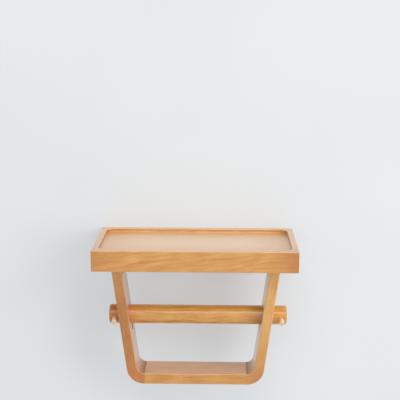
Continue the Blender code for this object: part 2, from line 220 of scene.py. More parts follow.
def complete(piece, material, slot, body, *nodes):
    """Shades a finished piece and hangs it on its body in place of its CAD nodes."""
    bpy.ops.object.select_all(action='DESELECT')
    piece.select_set(True)
    bpy.context.view_layer.objects.active = piece
    bpy.ops.object.mode_set(mode='EDIT')
    bpy.ops.mesh.select_all(action='SELECT')
    bpy.ops.mesh.remove_doubles(threshold=WELD)
    bpy.ops.mesh.dissolve_degenerate(threshold=WELD)
    bpy.ops.object.mode_set(mode='OBJECT')
    bpy.ops.object.shade_smooth_by_angle(angle=SHARP)
    shape_with(piece, 'WEIGHTED_NORMAL', keep_sharp=True)
    mark_worn_and_highlit_edges(piece)
    piece.data.materials.clear()
    piece.data.materials.append(material)
    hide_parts(*nodes)
    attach(piece, body)


def tone(red, green, blue):
    """A colour as it is seen on a screen, 0 to 255, made linear for a shader."""
    shares = (red / 255, green / 255, blue / 255)
    return tuple(s / 12.92 if s <= 0.04045 else ((s + 0.055) / 1.055) ** 2.4 for s in shares) + (1,)


def add(tree, kind, inputs=(), **settings):
    """A shader node with its settings, its fixed values and its links."""
    node = tree.nodes.new("ShaderNode" + kind)
    for setting, value in settings.items():
        setattr(node, setting, value)
    for socket, value in dict(inputs).items():
        if isinstance(value, bpy.types.NodeSocket):
            tree.links.new(value, node.inputs[socket])
        else:
            node.inputs[socket].default_value = value
    return node


def stretched(tree, place, scale):
    """A place or colour multiplied part by part."""
    return add(tree, "VectorMath", {0: place, 1: scale}, operation='MULTIPLY').outputs[0]


def number(tree, operation, first, second=0.0, third=0.0):
    """One sum on two or three numbers."""
    return add(tree, "Math", {0: first, 1: second, 2: third}, operation=operation).outputs[0]


def ramp(tree, value, *stops):
    """A value run through stops of (place, colour or grey)."""
    node = add(tree, "ValToRGB", {0: value})
    node.color_ramp.elements.remove(node.color_ramp.elements[1])
    for i, (place, colour) in enumerate(stops):
        stop = node.color_ramp.elements[0] if i == 0 else node.color_ramp.elements.new(place)
        stop.position = place
        stop.color = colour if isinstance(colour, tuple) else (colour, colour, colour, 1)
    return node.outputs["Color"]


def mixed(tree, share, first, second, blend='MIX'):
    """A colour with a share of a second one laid over it."""
    sockets = {0: share, 6: first, 7: second}
    return add(tree, "Mix", sockets, data_type='RGBA', blend_type=blend).outputs[2]


def noise(tree, place, scale, detail, output=0):
    """Noise that comes so often in a metre each way."""
    spread = stretched(tree, place, scale)
    return add(tree, "TexNoise", {"Vector": spread, "Detail": detail}).outputs[output]


# Beech: how often each feature comes in a metre, along the grain and across it, how much
# each shows, and the finish.
WANDER_SCALE = (5, 9, 9)
SWAY = (0, 0.008, 0.008)
RINGS_PER_METRE = 290
RING_PROFILE = ((0, 0.35), (0.5, 0.25), (0.86, 0.75), (0.95, 1), (1, 0.35))
RAYS_ALONG = 330
RAYS_OUTWARDS = 190
RAYS_ROUND = 170
FLECK_PROFILE = ((0.16, 1.0), (0.30, 0.0))
FIBRE_SCALE = (110, 2600, 2600)
STREAK_SCALE = (4, 420, 420)
BAND_SCALE = (4, 105, 105)
DRIFT_SCALE = (9, 26, 26)
RING_WEIGHT = 0.15
STREAK_WEIGHT = 0.4
END_STREAK_LOSS = 0.8 * STREAK_WEIGHT
BAND_WEIGHT = 0.34
DRIFT_WEIGHT = 0.34
FIBRE_WEIGHT = 0.12
PALEST_FIGURE = 0.35
DEEPEST_FIGURE = 0.67
END_GRAIN_POWER = 3
FLECK_TONE = tone(142, 76, 34)
FLECK_SHARE = 0.15
END_TONE = tone(170, 134, 104)
# The paler tone of rubbed edges is partly wear and partly a painted highlight.
RUBBED_AND_HIGHLIT_TONE = tone(248, 214, 172)
RUBBED_AND_HIGHLIT_SHARE = 0.3
WOOD_DULLNESS = 0.26
FIBRE_DULLNESS = 0.16
END_DULLNESS = 0.14
RUBBED_GLOSS = 0.06
FLECK_SINK = 0.7
RELIEF_STRENGTH = 0.18
RELIEF_HEIGHT = 0.0001
SOAKED_SHARE = 0.9
LACQUER_DULLNESS = 0.3
LACQUER_IOR = 1.66
FIBRE_SHEEN = 0.45
SHEEN_DULLNESS = 0.3


def beech(name, pale, deep, grain_turn=(0, 0, 0), heart=(0.03, -0.07), plank=(0, 0, 0), stains_and_painted_light=(),
          end_depth=0.6):
    """Lacquered beech as solid wood. grain_turn turns the piece so that its grain
    runs along X, and heart is the tree's heart in the plane across that grain.
    plank is where in the tree the piece was sawn. Each patch of tone is (place, reach, depth, colour):
    a darker or paler patch, most of them painted light or painted shade.
    end_depth is how much its end grain darkens."""
    material = bpy.data.materials.new(name)
    material.use_nodes = True
    tree = material.node_tree
    shader = tree.nodes["Principled BSDF"]
    coordinates = add(tree, "TexCoord")
    here = coordinates.outputs["Object"]
    wood = add(tree, "Mapping", {"Vector": here, "Rotation": grain_turn, "Location": plank}).outputs[0]

    # Growth rings round the heart, which wander along the trunk.
    wander = noise(tree, wood, WANDER_SCALE, detail=0, output="Color")
    sway = add(tree, "VectorMath", {0: wander, 1: SWAY, 2: wood}, operation='MULTIPLY_ADD').outputs[0]
    from_heart = add(tree, "VectorMath", {0: stretched(tree, sway, (0, 1, 1)), 1: (0, *heart)},
                     operation='SUBTRACT').outputs[0]
    radius = add(tree, "VectorMath", {0: from_heart}, operation='LENGTH').outputs["Value"]
    rings = number(tree, 'FRACT', number(tree, 'MULTIPLY', radius, RINGS_PER_METRE))
    late_wood = ramp(tree, rings, *RING_PROFILE)

    # Rays: thin radial sheets, seen as short dark flecks on a flat-sawn face.
    across = add(tree, "SeparateXYZ", {0: from_heart})
    turn = number(tree, 'ARCTAN2', across.outputs["Z"], across.outputs["Y"])
    along = add(tree, "SeparateXYZ", {0: wood}).outputs["X"]
    sheet = add(tree, "CombineXYZ", {0: number(tree, 'MULTIPLY', along, RAYS_ALONG),
                                     1: number(tree, 'MULTIPLY', radius, RAYS_OUTWARDS),
                                     2: number(tree, 'MULTIPLY', turn, RAYS_ROUND)}).outputs[0]
    cell = add(tree, "TexVoronoi", {"Vector": sheet, "Scale": 1.0}).outputs["Distance"]
    fleck = ramp(tree, cell, *FLECK_PROFILE)

    # Fibres, fine streaks, broad bands and the slow drift of colour along the board, each
    # with its weight. In the end grain the rings show most and the streaks least.
    facing = add(tree, "Mapping", {"Vector": coordinates.outputs["Normal"], "Rotation": grain_turn},
                 vector_type='VECTOR').outputs[0]
    end_on = number(tree, 'ABSOLUTE', add(tree, "SeparateXYZ", {0: facing}).outputs["X"])
    end_grain = number(tree, 'POWER', end_on, END_GRAIN_POWER)
    fibre = noise(tree, wood, FIBRE_SCALE, detail=3)
    streak = noise(tree, sway, STREAK_SCALE, detail=2)
    band = noise(tree, sway, BAND_SCALE, detail=1)
    drift = noise(tree, wood, DRIFT_SCALE, detail=1)
    ring_weight = number(tree, 'MULTIPLY_ADD', end_grain, RING_WEIGHT, RING_WEIGHT)
    streak_weight = number(tree, 'MULTIPLY_ADD', end_grain, -END_STREAK_LOSS, STREAK_WEIGHT)
    parts = ((late_wood, ring_weight), (streak, streak_weight), (band, BAND_WEIGHT),
             (drift, DRIFT_WEIGHT), (fibre, FIBRE_WEIGHT))
    figure = 0.5
    for part, weight in parts:
        figure = number(tree, 'MULTIPLY_ADD', number(tree, 'SUBTRACT', part, 0.5), weight, figure)
    middle_tone = tuple((light + dark) / 2 for light, dark in zip(pale, deep))
    colour = ramp(tree, figure, (PALEST_FIGURE, pale), (0.5, middle_tone), (DEEPEST_FIGURE, deep))
    # Patches of tone laid over the wood, most of them painted light or painted shade.
    for place, reach, depth, patch_tone in stains_and_painted_light:
        distance = add(tree, "VectorMath", {0: here, 1: place}, operation='DISTANCE').outputs["Value"]
        share = number(tree, 'MULTIPLY', ramp(tree, distance, (0, 1.0), (reach, 0.0)), depth)
        colour = mixed(tree, share, colour, patch_tone)

    # Cut fibre ends soak up the lacquer, so they are darker and duller. Rubbed edges show paler wood,
    # which is partly wear and partly a painted highlight along the edges.
    wear_and_highlight = add(tree, "Attribute", attribute_name="wear_and_highlight").outputs["Fac"]
    colour = mixed(tree, number(tree, 'MULTIPLY', fleck, FLECK_SHARE), colour, FLECK_TONE)
    colour = mixed(tree, number(tree, 'MULTIPLY', end_grain, end_depth), colour, END_TONE, 'MULTIPLY')
    colour = mixed(tree, number(tree, 'MULTIPLY', wear_and_highlight, RUBBED_AND_HIGHLIT_SHARE), colour, RUBBED_AND_HIGHLIT_TONE)
    tree.links.new(colour, shader.inputs["Base Color"])

    dullness = number(tree, 'MULTIPLY_ADD', fibre, FIBRE_DULLNESS, WOOD_DULLNESS)
    dullness = number(tree, 'MULTIPLY_ADD', end_grain, END_DULLNESS, dullness)
    dullness = number(tree, 'MULTIPLY_ADD', wear_and_highlight, -RUBBED_GLOSS, dullness)
    tree.links.new(dullness, shader.inputs["Roughness"])
    relief = number(tree, 'MULTIPLY_ADD', fleck, -FLECK_SINK, fibre)
    bump = add(tree, "Bump", {"Height": relief, "Strength": RELIEF_STRENGTH, "Distance": RELIEF_HEIGHT})
    tree.links.new(bump.outputs[0], shader.inputs["Normal"])
    film = number(tree, 'MULTIPLY_ADD', end_grain, -SOAKED_SHARE, 1.0)
    tree.links.new(film, shader.inputs["Coat Weight"])
    shader.inputs["Coat Roughness"].default_value = LACQUER_DULLNESS
    shader.inputs["Coat IOR"].default_value = LACQUER_IOR
    shader.inputs["Sheen Weight"].default_value = FIBRE_SHEEN
    shader.inputs["Sheen Roughness"].default_value = SHEEN_DULLNESS
    return material


tray_low, tray_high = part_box("tray")
recess_floor = tray_high.z - RECESS_DEPTH
recess_reach = tray_high.x - TRAY_RIM
tray = block("tray_board", tray_low, tray_high)
sand(tray, SANDED_EDGE, lambda middle, line: 1.0)
bpy.ops.object.mode_set(mode='EDIT')
pick(tray, 'FACE', lambda middle, normal: normal.z > LEVEL)
bpy.ops.mesh.inset(thickness=TRAY_RIM - SANDED_EDGE)
bpy.ops.mesh.extrude_region_move(TRANSFORM_OT_translate={"value": (0, 0, -RECESS_DEPTH)})
pick(tray, 'EDGE', lambda middle, line: abs(line.z) > ALIGNED and abs(middle.x) < recess_reach + TOUCH)
bpy.ops.mesh.bevel(offset=RECESS_CORNER, segments=CORNER_STEPS)
pick(tray, 'EDGE', lambda middle, line: abs(middle.z - recess_floor) < TOUCH)
bpy.ops.mesh.bevel(offset=RECESS_COVE, segments=COVE_STEPS)
bpy.ops.mesh.select_all(action='SELECT')
bpy.ops.mesh.dissolve_limited(angle_limit=FLAT)
bpy.ops.object.mode_set(mode='OBJECT')

gap = Vector((SEAT_GAP, SEAT_GAP, SEAT_GAP))
for side_name in ("left", "right"):
    low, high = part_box(side_name + "_hanger_plate")
    entry = (low + high) / 2 - Vector((0, 0, KEYHOLE_DROP))
    reach = KEYHOLE_ENTRY / 2 + HEAD_POCKET_MARGIN
    pocket_high = Vector((high.x + SEAT_GAP, OVERRUN, high.z + SEAT_GAP))
    carve(tray, round_ended("plate_pocket", low - gap, pocket_high, 1))
    head_low = Vector((entry.x - reach, low.y - HEAD_POCKET_DEPTH, entry.z - reach))
    head_high = Vector((entry.x + reach, OVERRUN, entry.z + KEYHOLE_RISE + reach))
    carve(tray, round_ended("head_pocket", head_low, head_high, 1))
    for end in ("left", "right"):
        bore(tray, 1, PLATE_SCREW_SHANK / 2, f"{side_name}_hanger_screw_{end}")
    for row in ("front", "back"):
        bore(tray, 2, FRAME_SCREW_SHANK / 2, f"{side_name}_frame_screw_{row}")


def carved_edge_share(middle, line):
    """The recess' rim is sanded like the outer edges, pockets hardly and holes not at all."""
    if middle.z > tray_high.z - TOUCH:
        return 1.0
    return POCKET_EDGE_SHARE if middle.y > -TOUCH else 0.0


sand(tray, SANDED_EDGE, carved_edge_share)

# The board is darker at its front corners. A painted sheen of reflected light makes it paler
# along the middle of the recess.
tray_ends_and_painted_sheen = [((tray_high.x, tray_low.y, 0), 0.035, 0.75, tone(174, 102, 36)),
               ((tray_low.x, tray_low.y, 0), 0.045, 0.6, tone(188, 114, 38))]
# Three pale patches along the recess floor are a painted reflection of light.
for x in (-PAINTED_SHEEN_STEP, 0, PAINTED_SHEEN_STEP):
    tray_ends_and_painted_sheen.append(((x, tray_low.y / 2, recess_floor), 0.056, 0.6, tone(242, 208, 158)))
beech_tray = beech("beech_board", tone(222, 167, 92), tone(198, 126, 47), heart=(0.02, -0.085),
                   plank=(0.31, 0, 0), grain_turn=(0, GRAIN_SLOPE, 0), stains_and_painted_light=tray_ends_and_painted_sheen)
complete(tray, beech_tray, "tray_wood", "holder", "tray")

# HANGER PLATES: two keyhole plates stamped from zinc-plated steel, let in flush with the
# tray's back face and screwed there. The holder hangs by them on two screws in the wall.
KEYHOLE_SLOT = 0.0044
STAMPED_EDGE = 0.00025
FINE_STEPS = 2
PLATE_SCREW_HEAD = 0.0055
PLATE_SCREW_HEAD_HEIGHT = 0.0013
BLOOM_SCALE = 420.0
DEEP_BLOOM = 0.35
PALE_BLOOM = 0.62
ROLLED_SCALE = (300, 9000, 9000)
ROLLED_STRENGTH = 0.12
ROLLED_HEIGHT = 0.00005
BLOOM_DULLNESS = 0.12
ROLLED_DULLNESS = 0.14
BARE_STEEL = tone(236, 236, 234)
BARE_SHARE = 0.4


def turned(name, start, way, rings, sides):
    """A round piece about a line, from rings of (distance from the start, radius)."""
    start, way = Vector(start), Vector(way)
    first, first_radius = rings[0]
    second = rings[1][0]
    piece = round_bar(name, first_radius, start + way * first, start + way * second, sides)
    bpy.ops.object.mode_set(mode='EDIT')
    pick(piece, 'FACE', lambda middle, normal: normal.dot(way) > ALIGNED)
    for (before, old), (at, radius) in zip(rings, rings[1:]):
        if before != first:
            bpy.ops.mesh.extrude_region_move(TRANSFORM_OT_translate={"value": way * (at - before)})
        share = radius / old
        bpy.ops.transform.resize(value=(share, share, share), center_override=start + way * at)
    bpy.ops.object.mode_set(mode='OBJECT')
    return piece


def countersink(piece, node, way, head, shank, head_height):
    """Drills a piece for a CAD screw that points along way, and sinks its head."""
    low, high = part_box(node)
    way = Vector(way)
    half = abs((high - low).dot(way)) / 2
    top = (low + high) / 2 - way * half
    head_radius = head / 2 + SEAT_GAP
    shank_radius = shank / 2 + SEAT_GAP
    rings = ((-OVERRUN, head_radius), (0, head_radius),
             (head_height, shank_radius), (2 * half, shank_radius))
    carve(piece, turned("countersink", top, way, rings, BAR_SIDES))


def again(piece, name, shift):
    """A copy of a piece with its own mesh, moved to its own place."""
    copy = piece.copy()
    copy.data = piece.data.copy()
    copy.name = copy.data.name = name
    copy.data.transform(Matrix.Translation(shift))
    bpy.context.scene.collection.objects.link(copy)
    return copy


def steel(name, pale, deep, dullness):
    """Zinc-plated steel with a faint rolled grain and a mottled bloom."""
    material = bpy.data.materials.new(name)
    material.use_nodes = True
    tree = material.node_tree
    shader = tree.nodes["Principled BSDF"]
    here = add(tree, "TexCoord").outputs["Object"]
    bloom = add(tree, "TexNoise", {"Vector": here, "Scale": BLOOM_SCALE, "Detail": 3}).outputs[0]
    rolled = noise(tree, here, ROLLED_SCALE, detail=2)
    wear_and_highlight = add(tree, "Attribute", attribute_name="wear_and_highlight").outputs["Fac"]
    colour = ramp(tree, bloom, (DEEP_BLOOM, deep), (PALE_BLOOM, pale))
    colour = mixed(tree, number(tree, 'MULTIPLY', wear_and_highlight, BARE_SHARE), colour, BARE_STEEL)
    tree.links.new(colour, shader.inputs["Base Color"])
    haze = number(tree, 'MULTIPLY_ADD', bloom, BLOOM_DULLNESS, dullness)
    haze = number(tree, 'MULTIPLY_ADD', rolled, ROLLED_DULLNESS, haze)
    tree.links.new(haze, shader.inputs["Roughness"])
    bump = add(tree, "Bump", {"Height": rolled, "Strength": ROLLED_STRENGTH, "Distance": ROLLED_HEIGHT})
    tree.links.new(bump.outputs[0], shader.inputs["Normal"])
    shader.inputs["Metallic"].default_value = 1.0
    return material


low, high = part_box("right_hanger_plate")
entry = (low + high) / 2 - Vector((0, 0, KEYHOLE_DROP))
front, back = low.y - OVERRUN, high.y + OVERRUN
plate = round_ended("right_keyhole_plate", low, high, 1)
sand(plate, STAMPED_EDGE, lambda middle, line: 1.0, FINE_STEPS)
entry_front = Vector((entry.x, front, entry.z))
entry_back = Vector((entry.x, back, entry.z))
carve(plate, round_bar("entry_cutter", KEYHOLE_ENTRY / 2, entry_front, entry_back))
slot_reach = Vector((KEYHOLE_SLOT / 2, 0, KEYHOLE_SLOT / 2))
slot_top = entry_back + Vector((0, 0, KEYHOLE_RISE))
carve(plate, round_ended("slot_cutter", entry_front - slot_reach, slot_top + slot_reach, 1))
for end in ("left", "right"):
    countersink(plate, f"right_hanger_screw_{end}", (0, -1, 0), PLATE_SCREW_HEAD, PLATE_SCREW_SHANK,
                PLATE_SCREW_HEAD_HEIGHT)
left_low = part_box("left_hanger_plate")[0]
plates = {"right": plate, "left": again(plate, "left_keyhole_plate", left_low - low)}
plate_steel = steel("zinc_plate_steel", tone(206, 208, 208), tone(166, 169, 172), 0.24)
for side_name, piece in plates.items():
    complete(piece, plate_steel, "plate_steel", "holder", side_name + "_hanger_plate")

# PLATE SCREWS: four short countersunk wood screws with a cross recess, turned and rolled
# from steel wire and plated, two in each hanger plate.
PLATE_SCREW_TIP = 0.0025
CORE_SHARE = 0.7
SMOOTH_SHARE = 0.3
PITCH_SHARE = 0.45
RIDGE_SHARE = 0.125
TIP_RADIUS = 0.0002
CROSS_REACH_SHARE = 0.3
CROSS_WIDTH_SHARE = 0.14
CROSS_DEPTH_SHARE = 0.75
SCREW_SIDES = 32
THREAD_STEPS = 20


def wood_screw(name, head, shank, head_height, length, tip):
    """A countersunk screw with its head's flat at the origin, pointing up."""
    core = CORE_SHARE * shank
    smooth_end = head_height + SMOOTH_SHARE * (length - head_height)
    core_start = smooth_end + (shank - core) / 2
    rings = ((0, head / 2), (head_height, shank / 2), (smooth_end, shank / 2),
             (core_start, core / 2), (length - tip, core / 2), (length, TIP_RADIUS))
    piece = turned(name, (0, 0, 0), (0, 0, 1), rings, SCREW_SIDES)
    ridge, pitch = RIDGE_SHARE * shank, PITCH_SHARE * shank
    start = smooth_end + ridge
    bpy.ops.object.select_all(action='DESELECT')
    bpy.ops.mesh.primitive_circle_add(vertices=3, radius=ridge, location=(shank / 2 - ridge, 0, start),
                                      rotation=(math.pi / 2, math.pi / 2, 0))
    thread = alone("thread")
    turns = int((length - tip - start) / pitch)
    shape_with(thread, 'SCREW', screw_offset=pitch, iterations=turns, steps=THREAD_STEPS,
               render_steps=THREAD_STEPS)
    bpy.ops.object.mode_set(mode='EDIT')
    bpy.ops.mesh.select_all(action='SELECT')
    bpy.ops.mesh.fill_holes(sides=3)
    bpy.ops.mesh.normals_make_consistent(inside=False)
    bpy.ops.object.mode_set(mode='OBJECT')
    shape_with(piece, 'BOOLEAN', object=thread, operation='UNION', solver='EXACT')
    bpy.data.objects.remove(thread, do_unlink=True)
    arm = CROSS_REACH_SHARE * head
    half = CROSS_WIDTH_SHARE * head / 2
    deep = CROSS_DEPTH_SHARE * head_height
    carve(piece, block("cross", (-arm, -half, -OVERRUN), (arm, half, deep)),
          block("cross", (-half, -arm, -OVERRUN), (half, arm, deep)))
    return piece


screw_steel = steel("zinc_screw_steel", tone(214, 208, 184), tone(178, 170, 146), 0.22)
low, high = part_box("right_hanger_screw_right")
pattern = wood_screw("plate_screw", PLATE_SCREW_HEAD, PLATE_SCREW_SHANK, PLATE_SCREW_HEAD_HEIGHT,
                     high.y - low.y, PLATE_SCREW_TIP)
pattern.data.transform(Matrix.Rotation(math.pi / 2, 4, 'X'))
for side_name in ("left", "right"):
    for end in ("left", "right"):
        node = f"{side_name}_hanger_screw_{end}"
        low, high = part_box(node)
        place = Vector(((low.x + high.x) / 2, high.y, (low.z + high.z) / 2))
        piece = again(pattern, f"{side_name}_plate_{end}_wood_screw", place)
        complete(piece, screw_steel, "screw_steel", "holder", node)
bpy.data.objects.remove(pattern, do_unlink=True)

# LEGS: each is band-sawn from a thick beech plank, leans, ends in a rounded foot that is
# glued to the bottom rail, and flares at its top towards the top rail. A keyhole is routed
# through it, round for the rod and with a slot below that lets a peg through.
LEG_THICKNESS = 0.0116
FOOT_HALF_WIDTH = 0.0778
OUTER_CORNER = 0.0195
INNER_CORNER = 0.0095
ROD_CLEARANCE = 0.0004
PEG_DIAMETER = 0.006
PEG_REACH = 0.019
SLOT_SIDE_CLEARANCE = 0.0006
SLOT_END_CLEARANCE = 0.0011
ROD_SIDES = 96
KEYHOLE_REACH_SHARE = 1.1
FINE_EDGE_SHARE = 0.35
BOTTOM_DOWEL = 0.006
TOP_DOWEL = 0.004
FOOT_SHADE_REACH = 0.014

leg_low, leg_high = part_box("right_leg")
rail_low, rail_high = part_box("bottom_rail")
top_rail_low, top_rail_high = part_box("top_rail")
rod_low, rod_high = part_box("roll_rod")
lean = math.atan2(leg_high.x - FOOT_HALF_WIDTH, leg_high.z - leg_low.z)
rod_axis = (rod_low + rod_high) / 2
rod_radius = (rod_high.z - rod_low.z) / 2
foot_joint = leg_low.x
top_joint = top_rail_high.x + SEAT_GAP


def outer_side(height):
    """How far out the right leg's outer face lies at a height."""
    return FOOT_HALF_WIDTH + (height - leg_low.z) * math.tan(lean)


def inner_side(height):
    """How far out its inner face lies there."""
    return outer_side(height) - LEG_THICKNESS / math.cos(lean)


def round_corner(piece, x, height, radius, turn):
    """Rounds the edge that runs through a corner of the leg's outline to a radius."""
    corner = (x, height)
    pick(piece, 'EDGE', lambda middle, line: abs(line.y) > ALIGNED
         and math.dist((middle.x, middle.z), corner) < TOUCH)
    bpy.ops.mesh.bevel(offset_type='ABSOLUTE', offset=2 * ALMOST_HALF * radius * math.tan(turn / 2),
                       segments=ARC_STEPS, clamp_overlap=False)


leg = block("right_beech_leg", (foot_joint, leg_low.y, leg_low.z),
            (FOOT_HALF_WIDTH, leg_high.y, rail_high.z))
bpy.ops.object.mode_set(mode='EDIT')
pick(leg, 'EDGE', lambda middle, line: middle.x > FOOT_HALF_WIDTH - TOUCH
     and middle.z > rail_high.z - TOUCH)
bpy.ops.transform.translate(value=(outer_side(rail_high.z) - FOOT_HALF_WIDTH, 0, 0))
bpy.ops.mesh.select_all(action='SELECT')
bpy.ops.mesh.bisect(plane_co=(inner_side(rail_high.z), 0, 0), plane_no=(1, 0, 0))
for start, end in ((rail_high.z, top_rail_low.z), (top_rail_low.z, leg_high.z)):
    pick(leg, 'FACE', lambda middle, normal: normal.z > ALIGNED and middle.z > start - TOUCH
         and middle.x > inner_side(start))
    rise = (end - start) * Vector((math.tan(lean), 0, 1))
    bpy.ops.mesh.extrude_region_move(TRANSFORM_OT_translate={"value": rise})
pick(leg, 'FACE', lambda middle, normal: normal.x < -ALIGNED and middle.z > top_rail_low.z)
flare = (top_joint - inner_side(top_rail_low.z), 0, 0)
bpy.ops.mesh.extrude_region_move(TRANSFORM_OT_translate={"value": flare})
bpy.ops.transform.resize(value=(0, 1, 1), center_override=(top_joint, 0, 0))
bpy.ops.mesh.select_all(action='SELECT')
bpy.ops.mesh.dissolve_limited(angle_limit=FLAT)
round_corner(leg, inner_side(rail_high.z), rail_high.z, INNER_CORNER, math.pi / 2 - lean)
round_corner(leg, outer_side(leg_low.z), leg_low.z, OUTER_CORNER, math.pi / 2 - lean)
round_corner(leg, inner_side(top_rail_low.z), top_rail_low.z, INNER_CORNER, math.pi / 2 + lean)
bpy.ops.mesh.select_all(action='SELECT')
bpy.ops.mesh.remove_doubles(threshold=MERGE)
bpy.ops.mesh.normals_make_consistent(inside=False)
bpy.ops.object.mode_set(mode='OBJECT')


def long_edge(middle, line):
    """Long edges are sanded, and the glued ends are not."""
    glued = abs(middle.x) < foot_joint + TOUCH or middle.z > leg_high.z - TOUCH
    under_tray = middle.z > top_rail_low.z - TOUCH and abs(middle.x) < top_joint + TOUCH
    return 0.0 if glued or under_tray else 1.0


sand(leg, SANDED_EDGE, long_edge)
slot_half = PEG_DIAMETER / 2 + SLOT_SIDE_CLEARANCE
slot_end = rod_axis.z - PEG_REACH - SLOT_END_CLEARANCE
near, far = inner_side(leg_low.z), outer_side(leg_high.z) + OVERRUN
carve(leg, round_bar("rod_hole_cutter", rod_radius + ROD_CLEARANCE, (near, rod_axis.y, rod_axis.z),
                     (far, rod_axis.y, rod_axis.z), ROD_SIDES))
carve(leg, round_ended("peg_slot_cutter", (near, rod_axis.y - slot_half, slot_end),
                       (far, rod_axis.y + slot_half, rod_axis.z), 0))
for end, diameter in (("bottom", BOTTOM_DOWEL), ("top", TOP_DOWEL)):
    for row in ("front", "back"):
        bore(leg, 0, diameter / 2, f"right_{end}_dowel_{row}")


def keyhole_edge(middle, line):
    """The edges of the rod's hole and of the slot are sanded, and those of the dowels' holes not."""
    reach = KEYHOLE_REACH_SHARE * rod_radius
    in_height = slot_end - TOUCH < middle.z < rod_axis.z + reach
    return float(in_height and abs(middle.y - rod_axis.y) < reach)


sand(leg, FINE_EDGE_SHARE * SANDED_EDGE, keyhole_edge, clamp=True)
left_leg = again(leg, "left_beech_leg", (0, 0, 0))
left_leg.data.transform(Matrix.Scale(-1, 4, (1, 0, 0)))
left_leg.data.flip_normals()

# Painted shade darkens the feet, and painted light makes the left leg paler towards the tray.
foot = Vector((foot_joint + FOOT_SHADE_REACH, leg_low.y, rail_low.z + OUTER_CORNER / 3))
other_foot = Vector((-foot.x, foot.y, foot.z))
other_top = Vector((-leg_high.x, leg_low.y, leg_high.z))
right_foot_painted_shade = [(foot, 0.1, 0.8, tone(192, 130, 66)),
                (foot, 0.018, 0.6, tone(182, 108, 52))]
left_painted_shade_and_light = [(other_foot, 0.018, 0.7, tone(206, 116, 62)),
               (other_top, 0.05, 0.8, tone(250, 184, 100))]
# The two legs are lit and shaded copies of one beech: the right one is paler with painted light, the
# left one darker with painted shade.
beech_leg_right_painted_light = beech("beech_right_leg_painted_light", tone(238, 188, 110), tone(214, 152, 72),
                        grain_turn=(0, math.pi / 2 - lean, 0), heart=(-0.09, 0.03),
                        plank=(0.1, 0.02, 0), stains_and_painted_light=right_foot_painted_shade)
beech_leg_left_painted_shade = beech("beech_left_leg_painted_shade", tone(196, 130, 54), tone(168, 98, 31),
                       grain_turn=(0, math.pi / 2 + lean, 0), heart=(-0.08, 0.02),
                       plank=(0.45, 0, 0.03), stains_and_painted_light=left_painted_shade_and_light)
complete(leg, beech_leg_right_painted_light, "frame_wood", "holder", "right_leg")
complete(left_leg, beech_leg_left_painted_shade, "frame_wood", "holder", "left_leg")

# RAILS: two straight beech strips glued between the legs, one at the foot and one under
# the tray. Their long edges are sanded with the legs', so only a hairline of glue shows,
# and the top one is countersunk for the screws that hold the tray.
GLUE_LINE = 0.00008
FRAME_SCREW_HEAD = 0.0076
FRAME_SCREW_HEAD_HEIGHT = 0.0024


def make_rail(name, node, end, dowel, heart, plank):
    """A strip that fills its CAD node's box and nearly the glue gaps at its ends."""
    low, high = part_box(node)

    def lengthwise_edge(middle, line):
        """The long edges are sanded, and the glued ends and the holes are not."""
        at_side = min(middle.y - low.y, high.y - middle.y) < TOUCH
        return float(abs(line.x) > ALIGNED and at_side)

    stretch = Vector((SEAT_GAP - GLUE_LINE, 0, 0))
    rail = block(name, low - stretch, high + stretch)
    for side_name in ("left", "right"):
        for row in ("front", "back"):
            bore(rail, 0, dowel / 2, f"{side_name}_{end}_dowel_{row}")
        if end == "top":
            for row in ("front", "back"):
                countersink(rail, f"{side_name}_frame_screw_{row}", (0, 0, 1), FRAME_SCREW_HEAD,
                            FRAME_SCREW_SHANK, FRAME_SCREW_HEAD_HEIGHT)
    sand(rail, SANDED_EDGE, lengthwise_edge)
    wood = beech(name + "_wood", tone(216, 158, 82), tone(190, 122, 46), heart=heart, plank=plank)
    complete(rail, wood, "frame_wood", "holder", node)


make_rail("bottom_beech_rail", "bottom_rail", "bottom", BOTTOM_DOWEL, heart=(0.05, 0.02),
          plank=(0.7, 0, 0))
make_rail("top_beech_rail", "top_rail", "top", TOP_DOWEL, heart=(0.01, -0.09),
          plank=(0.9, 0.04, 0))

# GLUE DOWELS: fluted beech dowels with chamfered ends across the frame's four glue
# joints, two in each. They are hidden once the frame is together.
DOWEL_CHAMFER = 0.0006
FLUTE_SHARE = 0.93
DOWEL_SIDES = 24

dowel_wood = beech("raw_dowel_wood", tone(230, 190, 144), tone(204, 160, 112))
for end in ("bottom", "top"):
    low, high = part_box(f"right_{end}_dowel_front")
    middle = (low + high) / 2
    half = (high.x - low.x) / 2
    dowel = round_bar("dowel", (high.z - low.z) / 2, (-half, 0, 0), (half, 0, 0), DOWEL_SIDES)
    sand(dowel, DOWEL_CHAMFER, lambda middle, line: 1.0, segments=1)
    bpy.ops.object.mode_set(mode='EDIT')
    step = 2 * math.pi / DOWEL_SIDES
    pick(dowel, 'EDGE', lambda middle, line: abs(line.x) > ALIGNED and abs(middle.x) < TOUCH
         and round(math.atan2(middle.z, middle.y) / step) % 2)
    bpy.ops.transform.resize(value=(1, FLUTE_SHARE, FLUTE_SHARE), center_override=(0, 0, 0))
    bpy.ops.object.mode_set(mode='OBJECT')
    for side_name in ("left", "right"):
        for row in ("front", "back"):
            node = f"{side_name}_{end}_dowel_{row}"
            low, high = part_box(node)
            piece = again(dowel, f"{side_name}_{end}_{row}_fluted_dowel", (low + high) / 2)
            complete(piece, dowel_wood, "dowel_wood", "holder", node)
    bpy.data.objects.remove(dowel, do_unlink=True)

# FRAME SCREWS: four longer wood screws of the same make, driven up through the top rail
# into the tray, which they hold.
FRAME_SCREW_TIP = 0.003

